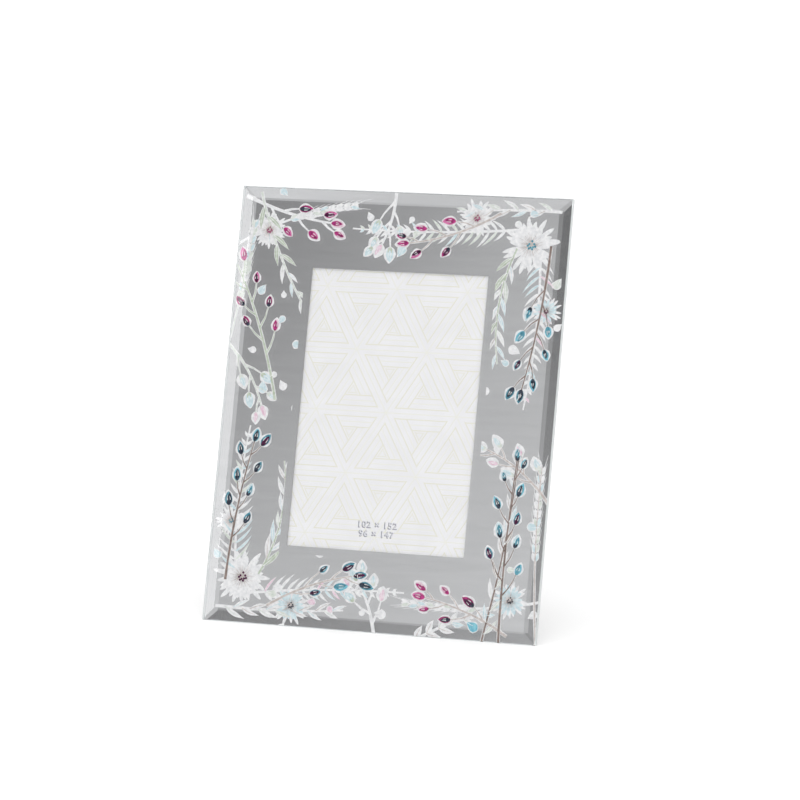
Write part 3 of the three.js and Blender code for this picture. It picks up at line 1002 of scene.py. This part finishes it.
@dataclass(frozen=True)
class Stem:
    """A stem of the print and the parts that leave it, in pairs or on alternate sides."""

    along: Arc
    parts: int
    inks: Sequence
    ink: Ink
    size: float = 12.0
    width: ClassVar[float] = 1.0
    first: ClassVar[float] = 0.1
    span: ClassVar[float] = 0.9
    paired: ClassVar[bool] = True
    tipped: ClassVar[bool] = False
    angles: ClassVar[Point] = (24, 40)
    spread: ClassVar[Point] = (0.85, 1.1)
    bend: ClassVar[float] = 18

    def paint(self, sheet: PrintSheet) -> None:
        """Paints the stem, its parts from the foot upwards, and what it bears at its tip.

        Args:
            sheet: What it is painted on.
        """
        sheet.stem(self.ink, self.along, self.width)
        for number in range(self.parts):
            share = self.first + self.span * number / (self.parts - self.tipped)
            for side in (-1, 1) if self.paired else (1 if number % 2 else -1,):
                self.part(sheet, Site(share, *self.along.at(share), side))
        if self.tipped:
            self.tip(sheet, *self.along.at(1.0))

    def blade(self, sheet: PrintSheet, site: Site, length: float) -> Arc:
        """Gives the middle line of a leaf, whose angle and length vary by chance."""
        angle = sheet.dice.uniform(*self.angles)
        return site.aside(angle, length * sheet.dice.uniform(*self.spread), self.bend)

    def part(self, sheet: PrintSheet, site: Site) -> None:
        """Paints one part.

        Args:
            sheet: What it is painted on.
            site: Where it leaves the stem.
        """
        raise NotImplementedError

    def tip(self, sheet: PrintSheet, end: Vector, heading: float) -> None:
        """Paints what the tip bears.

        Args:
            sheet: What it is painted on.
            end: The tip.
            heading: The stem's heading there.
        """
        raise NotImplementedError


class Sprig(Stem):
    """A stem with paired leaves that shorten towards its tip, which is a leaf too."""

    width, first, span = 1.1, 0.16, 0.76
    angles, bend = (38, 54), 22
    tipped = True

    def part(self, sheet: PrintSheet, site: Site) -> None:
        """Paints one leaf."""
        ink, length = sheet.dice.choice(self.inks), self.size * (1 - 0.45 * site.share)
        sheet.leaf(ink, self.blade(sheet, site, length), length * 0.32)

    def tip(self, sheet: PrintSheet, end: Vector, heading: float) -> None:
        """Paints the leaf at the tip."""
        sheet.leaf(sheet.dice.choice(self.inks), Arc(end, heading, self.size * 0.6), self.size * 0.2)


class Frond(Stem):
    """A fern frond, with narrow leaflets that shorten towards its tip."""

    width, span = 0.8, 0.88
    angles, bend = (52, 64), 26

    def part(self, sheet: PrintSheet, site: Site) -> None:
        """Paints one leaflet."""
        length = self.size * min(1.0, 0.5 + 3 * site.share) * (1.06 - site.share) ** 0.7
        blade = self.blade(sheet, site, length)
        sheet.framed(sheet.dice.choice(self.inks), Outline.BLADE, blade, 1.2, sheet.halo * 0.6)


class Willow(Stem):
    """A thin branch with narrow leaves on alternate sides."""

    first = 0.08
    spread = (0.8, 1.15)
    paired = False

    def part(self, sheet: PrintSheet, site: Site) -> None:
        """Paints one leaf."""
        blade = self.blade(sheet, site, self.size * (1.1 - 0.4 * site.share))
        sheet.leaf(sheet.dice.choice(self.inks), blade, blade.length * 0.17)


@dataclass(frozen=True)
class BudSpray(Stem):
    """A stem with buds on alternate stalks and at its tip."""

    size: float = 7.4
    width: ClassVar[float] = 1.3
    first: ClassVar[float] = 0.3
    span: ClassVar[float] = 0.6
    paired: ClassVar[bool] = False
    tipped: ClassVar[bool] = True

    def part(self, sheet: PrintSheet, site: Site) -> None:
        """Paints one stalk with its bud."""
        reach = sheet.dice.uniform(9, 14) * (1.15 - 0.5 * site.share)
        stalk = site.aside(sheet.dice.uniform(36, 52), reach, 24)
        sheet.stem(self.ink, stalk, 0.75)
        sheet.bud(*stalk.at(1.0), sheet.dice.uniform(5.6, 8.2), sheet.dice.choice(self.inks))

    def tip(self, sheet: PrintSheet, end: Vector, heading: float) -> None:
        """Paints the bud at the tip."""
        sheet.bud(end, heading, self.size, sheet.dice.choice(self.inks))


@dataclass(frozen=True)
class Ear(Stem):
    """An ear of grass with paired grains and their awns."""

    size: float = 5.2
    width: ClassVar[float] = 0.8
    first: ClassVar[float] = 0.5
    span: ClassVar[float] = 0.5

    def part(self, sheet: PrintSheet, site: Site) -> None:
        """Paints one grain with its awn."""
        grain = site.aside(24, self.size, 14)
        sheet.shape(Ink.WHITE, Outline.LEAF, grain, 1.9, sheet.halo * 0.8)
        sheet.shape(sheet.dice.choice(self.inks), Outline.LEAF, grain, 1.7)
        sheet.line(Ink.WHITE, Arc(*grain.at(1.0), sheet.dice.uniform(5, 8)), 0.34, 0.14)


@dataclass(frozen=True)
class Aster:
    """An open flower of many narrow petals in two rings, round an eye of seeds."""

    centre: Point
    radius: float
    ink: Ink
    eye: Ink
    petals: ClassVar[int] = 17
    seeds: ClassVar[int] = 14
    seed_turn: ClassVar[float] = 137.5

    def paint(self, sheet: PrintSheet) -> None:
        """Paints the rings, the rear one white, and the eye.

        Args:
            sheet: What it is painted on.
        """
        for ring, (share, colour) in enumerate(((1.0, Ink.WHITE), (0.8, self.ink))):
            for petal in range(self.petals):
                heading = (petal + ring / 2) * 360 / self.petals + sheet.dice.uniform(-5, 5)
                length = self.radius * share * sheet.dice.uniform(0.85, 1.08)
                along = Arc(self.centre, heading, length, sheet.dice.uniform(-14, 14))
                sheet.shape(colour, Outline.PETAL, along, self.radius * 0.17)
                sheet.line(Ink.SAND, Arc(self.centre, heading, length * 0.45), 0.28, 0.1)
        for seed in range(self.seeds):
            reach = self.radius * 0.045 * math.sqrt(seed + 1)
            spot = Arc(self.centre, seed * self.seed_turn, reach).at(1.0)[0]
            sheet.dot(self.eye if seed % 3 else Ink.SAND, spot, self.radius * 0.04)


@dataclass
class Print(Dressing):
    """The print between the glass and its silvering: garlands from two corners, and ears of grass.

    The layout is in millimetres from the middle and the bottom of the glass, and in the order of painting.
    """

    axes: PanelAxes
    seed: int = 11
    petals: int = 70
    strewn: tuple[float, float] = (90, 231)
    petal_length: tuple[float, float] = (3.5, 7)
    plain_margin: float = 4.0
    edge_margin: float = 0.5
    film: float = 0.03
    film_step: float = 0.024
    behind: float = 0.06
    touching: float = 1e-5

    # Asters in the lower left corner, with fronds and buds that leave them both ways.
    LOWER_LEFT: ClassVar[tuple] = (
        Frond(Arc((-74, 20), 98, 84, -16), 17, PALES, Ink.WHITE, 14),
        Frond(Arc((-66, 16), 8, 84, -8), 18, WHITES, Ink.WHITE, 12),
        Willow(Arc((-62, 26), 62, 62, 40), 13, GREENS, Ink.SAGE, 12),
        BudSpray(Arc((-80, 22), 88, 74, -10), 7, TEALS, Ink.BROWN),
        BudSpray(Arc((-56, 10), 34, 50, -24), 5, TEALS, Ink.SAND),
        Willow(Arc((-84, 8), -2, 70, 8), 14, PALES, Ink.WHITE, 11),
        BudSpray(Arc((4, -5), 96, 34, 30), 5, FROSTS, Ink.WHITE),
        Aster((-71, 24), 15, Ink.WHITE, Ink.PLUM),
        Aster((-43, 11), 10, Ink.ICE, Ink.SLATE),
        Aster((-80, 53), 8, Ink.WHITE, Ink.TEAL),
    )
    # Asters in the upper right corner, with fronds and buds that leave them both ways.
    UPPER_RIGHT: ClassVar[tuple] = (
        Frond(Arc((74, 208), -84, 88, -14), 17, WHITES, Ink.WHITE, 13),
        Frond(Arc((64, 214), 186, 92, -8), 19, PALES, Ink.WHITE, 12),
        Willow(Arc((62, 204), -112, 62, 34), 13, GREENS, Ink.SAGE, 12),
        BudSpray(Arc((80, 206), -92, 76, -10), 7, TEALS, Ink.BROWN),
        BudSpray(Arc((52, 222), 212, 52, -24), 5, MAGENTAS, Ink.SAND),
        Willow(Arc((84, 224), 178, 56, 8), 11, PALES, Ink.WHITE, 10),
        BudSpray(Arc((-6, 236), -84, 34, -30), 5, FROSTS, Ink.WHITE),
        Aster((69, 206), 15, Ink.WHITE, Ink.TEAL),
        Aster((39, 219), 10, Ink.WHITE, Ink.MAGENTA),
        Aster((80, 172), 8, Ink.ICE, Ink.PLUM),
    )
    # Buds and grass that lean into the upper left corner.
    UPPER_LEFT: ClassVar[tuple] = (
        Willow(Arc((-80, 228), -72, 92, 22), 15, GREENS, Ink.MINT, 11),
        BudSpray(Arc((-62, 118), 104, 84, 16), 8, MAGENTAS, Ink.SAGE),
        Ear(Arc((-94, 128), 78, 86, 8), 10, PALES, Ink.MINT),
        BudSpray(Arc((-88, 226), -24, 50, 18), 5, MAGENTAS, Ink.WHITE),
        Ear(Arc((-96, 196), 36, 76, -30), 9, PALES, Ink.WHITE),
        BudSpray(Arc((-94, 150), -40, 44, -30), 5, FROSTS, Ink.MINT),
        Aster((-74, 208), 10, Ink.WHITE, Ink.MAGENTA),
    )
    # Buds and grass that rise from the lower right corner.
    LOWER_RIGHT: ClassVar[tuple] = (
        Willow(Arc((60, -4), 78, 104, 10), 16, (Ink.SAND, *PALES), Ink.BROWN, 11),
        BudSpray(Arc((70, -6), 92, 100, -6), 9, TEALS, Ink.BROWN),
        Ear(Arc((90, -6), 98, 98, -10), 11, PALES, Ink.SAND),
        Ear(Arc((96, 24), 196, 80, -22), 9, PALES, Ink.WHITE),
        BudSpray(Arc((74, 4), 150, 48, 20), 5, MAGENTAS, Ink.SAND),
        Sprig(Arc((20, -6), 40, 46, -30), 6, WHITES, Ink.WHITE, 10),
        BudSpray(Arc((94, 66), 120, 52, 40), 6, FROSTS, Ink.SAND),
        Aster((74, 22), 10, Ink.ICE, Ink.SLATE),
    )

    def build(self) -> list[bpy.types.Object]:
        """Paints the design, cuts it to the border and gives each colour its film.

        Returns:
            One object for each colour.
        """
        sheet = PrintSheet(random.Random(self.seed))
        for plant in (*self.LOWER_LEFT, *self.UPPER_RIGHT, *self.UPPER_LEFT, *self.LOWER_RIGHT):
            plant.paint(sheet)
        self.strew(sheet)
        rear = self.axes.levels("glass_panel", 1)[-1]
        made = []
        for number, ink in enumerate(Ink):
            shape = sheet.meshes[ink]
            self.cut(shape)
            self.thicken(shape)
            depth = rear - (self.behind + self.film_step * number) * MM
            piece = self.piece(f"print_{ink.name.lower()}", shape, self.axes.film(depth), [ink.finish()])
            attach(piece, "frame")
            made.append(piece)
        return made

    def strew(self, sheet: PrintSheet) -> None:
        """Strews petals over what is still bare.

        Args:
            sheet: What they are painted on.
        """
        inks = PALES + WHITES + (Ink.ICE, Ink.MINT, Ink.SKY, Ink.MAGENTA)
        across, top = self.strewn
        for _ in range(self.petals):
            place = sheet.dice.uniform(-across, across), sheet.dice.uniform(0, top)
            length = sheet.dice.uniform(*self.petal_length)
            heading = sheet.dice.uniform(0, 360)
            sheet.petal(sheet.dice.choice(inks), place, heading, length)

    def cut(self, shape: Shape) -> None:
        """Cuts the drawing off at the sheet's edges and round the window.

        Args:
            shape: The shapes of one colour.
        """
        reach, top = (self.axes.levels("glass_panel", axis)[-1] / MM - self.edge_margin for axis in (0, 2))
        window = self.axes.levels("mirror_coat", 0)[2] / MM + self.plain_margin
        low, high = (place / MM for place in self.axes.levels("mirror_coat", 2)[1:3])
        low, high = low - self.plain_margin, high + self.plain_margin
        for side, below, above, clear in ((reach, self.edge_margin, top, True), (window, low, high, False)):
            sides = (((-1, 0, 0), side), ((1, 0, 0), side), ((0, -1, 0), -below), ((0, 1, 0), above))
            for turn, offset in sides:
                bmesh.ops.bisect_plane(
                    shape, geom=[*shape.verts, *shape.edges, *shape.faces], dist=self.touching,
                    plane_co=Vector(turn) * offset, plane_no=turn, clear_outer=clear,
                )
        lost = [
            face for face in shape.faces
            if abs(face.calc_center_median().x) < window and low < face.calc_center_median().y < high
        ]
        bmesh.ops.delete(shape, geom=lost, context="FACES")

    def thicken(self, shape: Shape) -> None:
        """Gives the flat shapes the thickness of a film.

        Args:
            shape: The shapes of one colour.
        """
        raised = bmesh.ops.extrude_face_region(shape, geom=list(shape.faces))
        corners = [item for item in raised["geom"] if isinstance(item, bmesh.types.BMVert)]
        bmesh.ops.translate(shape, verts=corners, vec=(0, 0, self.film))
        self.settle(shape)

    @staticmethod
    def settle(shape: Shape) -> None:
        """Orders edges and faces by their first corners, because extruding leaves them in a chance order.

        Args:
            shape: The shapes of one colour.
        """
        shape.verts.index_update()
        count = len(shape.verts)

        def rank(part: bmesh.types.BMEdge | bmesh.types.BMFace) -> int:
            """Joins the numbers of a part's first three corners into one."""
            first = sorted(vertex.index for vertex in part.verts)[:3]
            return functools.reduce(lambda place, corner: place * count + corner, first)

        for parts in (shape.edges, shape.faces):
            parts.sort(key=rank)


@dataclass(frozen=True)
class NumberLayer:
    """One layer of the card's numbers."""

    name: str
    ink: InkPaint
    relief: float
    shift: Point = (0.0, 0.0)
    boldness: float = 0.0


@dataclass
class Card(Dressing):
    """The photo card, with its lattice and plain numbers for its size, pale over their own grey shade."""

    axes: PanelAxes
    text_size: float = 4.6 * MM
    text_spacing: float = 1.14
    text_steps: int = 4
    weld: float = 1e-7
    lines: tuple[tuple[str, str, float], ...] = (
        ("upper", "102 × 152", 13.9 * MM), ("lower", "96 × 147", 9.2 * MM),
    )
    layers: tuple[NumberLayer, ...] = (
        NumberLayer(
            "card_shades", InkPaint("number_shade", srgb("#9c9ca7"), srgb("#868692")),
            0.03 * MM, (-0.27 * MM, -0.25 * MM), 0.045,
        ),
        NumberLayer("card_numbers", InkPaint("number_face", srgb("#f0f0f4"), srgb("#e4e4ea")), 0.06 * MM),
    )

    def dress(self) -> None:
        """Gives the card its lattice and the numbers."""
        self.finish_nodes(PrintedCard(axes=self.axes), ["photo_card"])
        window_bottom = self.axes.levels("mirror_coat", 2)[1]
        for word, text, above in self.lines:
            for layer in self.layers:
                across, shift = layer.shift
                self.number(layer, word, text, (across, window_bottom + above + shift))

    def number(self, layer: NumberLayer, word: str, text: str, middle: Point) -> bpy.types.Object:
        """Sets one layer of one line of numbers on the card.

        Args:
            layer: The layer.
            word: What tells the line's pieces from the other line's.
            text: The numbers.
            middle: The line's middle, across and up the panel.

        Returns:
            The numbers as a mesh.
        """
        name = f"{layer.name}_{word}"
        curve = bpy.data.curves.new(name, "FONT")
        curve.body = text
        curve.size = self.text_size
        curve.space_character = self.text_spacing
        curve.resolution_u = self.text_steps
        curve.align_x = "CENTER"
        curve.align_y = "CENTER"
        curve.extrude = layer.relief / 2
        curve.offset = self.text_size * layer.boldness
        holder = bpy.data.objects.new(name + "_text", curve)
        mesh = bpy.data.meshes.new_from_object(holder)
        shape = bmesh.new()
        shape.from_mesh(mesh)
        bpy.data.objects.remove(holder)
        bmesh.ops.remove_doubles(shape, verts=shape.verts, dist=self.weld)
        across, height = middle
        depth = self.axes.levels("photo_card", 1)[0] - layer.relief / 2
        stand = Matrix.Translation((across, depth, height)) @ Matrix.Rotation(math.radians(90), 4, "X")
        made = self.piece(name, shape, self.axes.matrix @ stand, [layer.ink])
        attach(made, "card")
        return made


@dataclass
class Back(Dressing):
    """The covered rails, the door, the sheet and the tape."""

    def dress(self) -> None:
        """Finishes the nodes of the back."""
        self.finish_nodes(Velour(), [
            "rail_cover_left", "rail_cover_right", "rail_cover_bottom", "door_cover", "leg_cover",
        ])
        self.finish_nodes(Fibreboard(), ["rail_left", "rail_right", "rail_bottom", "door_board", "leg_board"])
        self.finish_nodes(FoamTape(), ["tape_left", "tape_right", "tape_bottom"])
        self.finish_nodes(Greyboard(), ["pressure_sheet"])
        self.finish_nodes(BackingPaint(), ["mirror_coat"])


@dataclass
class Hinge(Dressing):
    """The easel's hinge and its rivets."""

    def dress(self) -> None:
        """Finishes the nodes of the hinge."""
        self.finish_nodes(NickelPlate(), [
            "hinge_door_leaf", "hinge_leg_leaf", "hinge_pin",
            "door_rivet_left", "door_rivet_right", "leg_rivet_left", "leg_rivet_right",
        ])


@dataclass(frozen=True)
class WhiteFloor(Finish):
    """A white floor that keeps the object's shadow."""

    name: str = "white_floor"
    colour: Colour = (0.8, 0.8, 0.8)
    glow: float = 0.2

    def paint(self, nodes: Nodes) -> None:
        """Adds a little light of its own where the camera, metal or glass sees it."""
        seen = nodes.add("ShaderNodeLightPath").outputs
        direct = nodes.greatest(seen["Is Camera Ray"], seen["Is Glossy Ray"], seen["Is Transmission Ray"])
        cloth = nodes.add("ShaderNodeBsdfDiffuse", inputs={"Color": rgba(self.colour)})
        glow = nodes.add("ShaderNodeEmission", inputs={"Strength": direct * self.glow})
        both = nodes.add("ShaderNodeAddShader", inputs={0: cloth.outputs[0], 1: glow.outputs[0]})
        nodes.add("ShaderNodeOutputMaterial", inputs={"Surface": both.outputs[0]})


@dataclass(frozen=True)
class Sight:
    """The line of sight in the world's nodes."""

    nodes: Nodes
    socket: Socket

    def facing(self, towards: Vector) -> Value:
        """Gives the cosine between the line of sight and a direction."""
        node = self.nodes.add(
            "ShaderNodeVectorMath", {"operation": "DOT_PRODUCT"}, {0: self.socket, 1: towards},
        )
        return Value(self.nodes, node.outputs["Value"])

    def angle(self, azimuth: float, elevation: float) -> Value:
        """Gives the angle between the line of sight and a place in the studio, in degrees."""
        cosine = self.facing(direction(azimuth, elevation))
        return self.nodes.math("ARCCOSINE", cosine) * math.degrees(1)


@dataclass(frozen=True)
class StudioLight:
    """Soft light from all round, and what the mirror shows: a dark screen, a glow, a ceiling and a lamp.

    Its angles are in degrees, seen from the object.
    """

    screen_azimuth: float = -38.0
    screen_elevation: float = 34.0
    screen_stops: tuple[tuple[float, float], ...] = (
        (11.3, 0.137), (13, 0.19), (14.7, 0.237), (16.4, 0.29), (18.1, 0.36), (19.8, 0.462), (21.4, 0.54),
        (23.1, 0.588), (24.8, 0.655), (26.5, 0.645), (28.2, 0.625), (29.9, 0.65), (35, 0.94),
    )
    glow_azimuth: float = -24.0
    glow_elevation: float = 13.0
    glow_spread: tuple[float, float] = (6.6, 4.8)
    glow: float = 0.1
    ceiling_from: float = 42.0
    ceiling_full: float = 60.0
    ceiling: float = 0.8
    strip_azimuth: float = -43.5
    strip_elevation: float = 19.0
    strip_half: tuple[float, float] = (3.5, 12.0)
    strip_edge: tuple[float, float] = (1.15, 0.85)
    strip: float = 4.2

    def paint(self, nodes: Nodes) -> None:
        """Fills the world's tree. The camera itself sees plain white.

        Args:
            nodes: The world's nodes.
        """
        sight = Sight(nodes, nodes.add("ShaderNodeTexCoord").outputs["Generated"])
        light = self.walls(sight) + self.ceiling_light(sight) + self.strip_light(sight)
        camera = Value(nodes, nodes.add("ShaderNodeLightPath").outputs["Is Camera Ray"])
        strength = camera + (1 - camera) * light
        glow = nodes.add("ShaderNodeBackground", inputs={"Color": (1, 1, 1, 1), "Strength": strength})
        nodes.add("ShaderNodeOutputWorld", inputs={"Surface": glow.outputs[0]})

    def walls(self, sight: Sight) -> Value:
        """Lights the pale walls, with the dark screen and a soft glow before them.

        Args:
            sight: The line of sight.

        Returns:
            Their light.
        """
        screen = sight.angle(self.screen_azimuth, self.screen_elevation)
        glow = sight.angle(self.glow_azimuth, self.glow_elevation).ramp(*self.glow_spread)
        (start, level), *others = self.screen_stops
        light = glow * self.glow + level
        for end, next_level in others:
            light = light + screen.ramp(start, end) * (next_level - level)
            start, level = end, next_level
        return light

    def ceiling_light(self, sight: Sight) -> Value:
        """Lights the ceiling."""
        start, full = (math.sin(math.radians(angle)) for angle in (self.ceiling_from, self.ceiling_full))
        return sight.facing(Vector((0, 0, 1))).ramp(start, full) * self.ceiling

    def strip_light(self, sight: Sight) -> Value:
        """Lights a tall narrow lamp to the left, which the left bevel catches.

        Args:
            sight: The line of sight.

        Returns:
            Its light.
        """
        centre = direction(self.strip_azimuth, self.strip_elevation)
        across = Vector((0, 0, 1)).cross(centre).normalized()
        ahead = sight.facing(centre)
        light = ahead.above(0) * self.strip
        for axis, half in zip((across, centre.cross(across)), self.strip_half):
            offset = abs(sight.facing(axis) / ahead) / math.tan(math.radians(half))
            light = light * offset.ramp(*self.strip_edge)
        return light


@dataclass
class Studio(Dressing):
    """The plain pale surroundings, the soft light and the camera where the photograph was taken from."""

    axes: PanelAxes
    azimuth: float = 16.74
    elevation: float = 11.27
    distance: float = 1.689
    lens: float = 150.0
    sensor: float = 36.0
    aim: tuple[float, float] = (0.0186, 0.1232)
    floor_reach: float = 12.0

    def build(self) -> None:
        """Makes the floor, the world and the camera."""
        self.floor()
        self.world()
        self.camera()

    def floor(self) -> None:
        """Lays a wide white floor."""
        shape = bmesh.new()
        bmesh.ops.create_grid(shape, x_segments=2, y_segments=2, size=self.floor_reach)
        floor = self.piece("floor", shape, Matrix.Identity(4), [WhiteFloor()])

    def world(self) -> None:
        """Lights the studio from all round, with the soft gradient that the mirror shows."""
        world = bpy.data.worlds.new("studio")
        world.use_nodes = True
        bpy.context.scene.world = world
        StudioLight().paint(Nodes(world.node_tree))

    def camera(self) -> None:
        """Sets up the camera."""
        lens = bpy.data.cameras.new("camera")
        lens.lens = self.lens
        lens.sensor_width = self.sensor
        camera = bpy.data.objects.new("camera", lens)
        bpy.context.scene.collection.objects.link(camera)
        back = direction(self.azimuth, self.elevation)
        across, height = self.aim
        target = self.axes.matrix.to_translation() + Vector((across, 0, height))
        camera.location = target + back * self.distance
        camera.rotation_euler = (-back).to_track_quat("-Z", "Y").to_euler()
        bpy.context.scene.camera = camera


def main() -> None:
    """Builds the sub-assemblies in order and sets up the studio."""
    logging.basicConfig(level=logging.INFO, format="%(name)s: %(message)s")
    axes = PanelAxes.from_frame()
    Glass(axes).build()
    Print(axes).build()
    Card(axes).dress()
    Back().dress()
    Hinge().dress()
    Studio(axes).build()
    bpy.context.scene.view_settings.view_transform = "Standard"


if __name__ == "__main__":
    main()
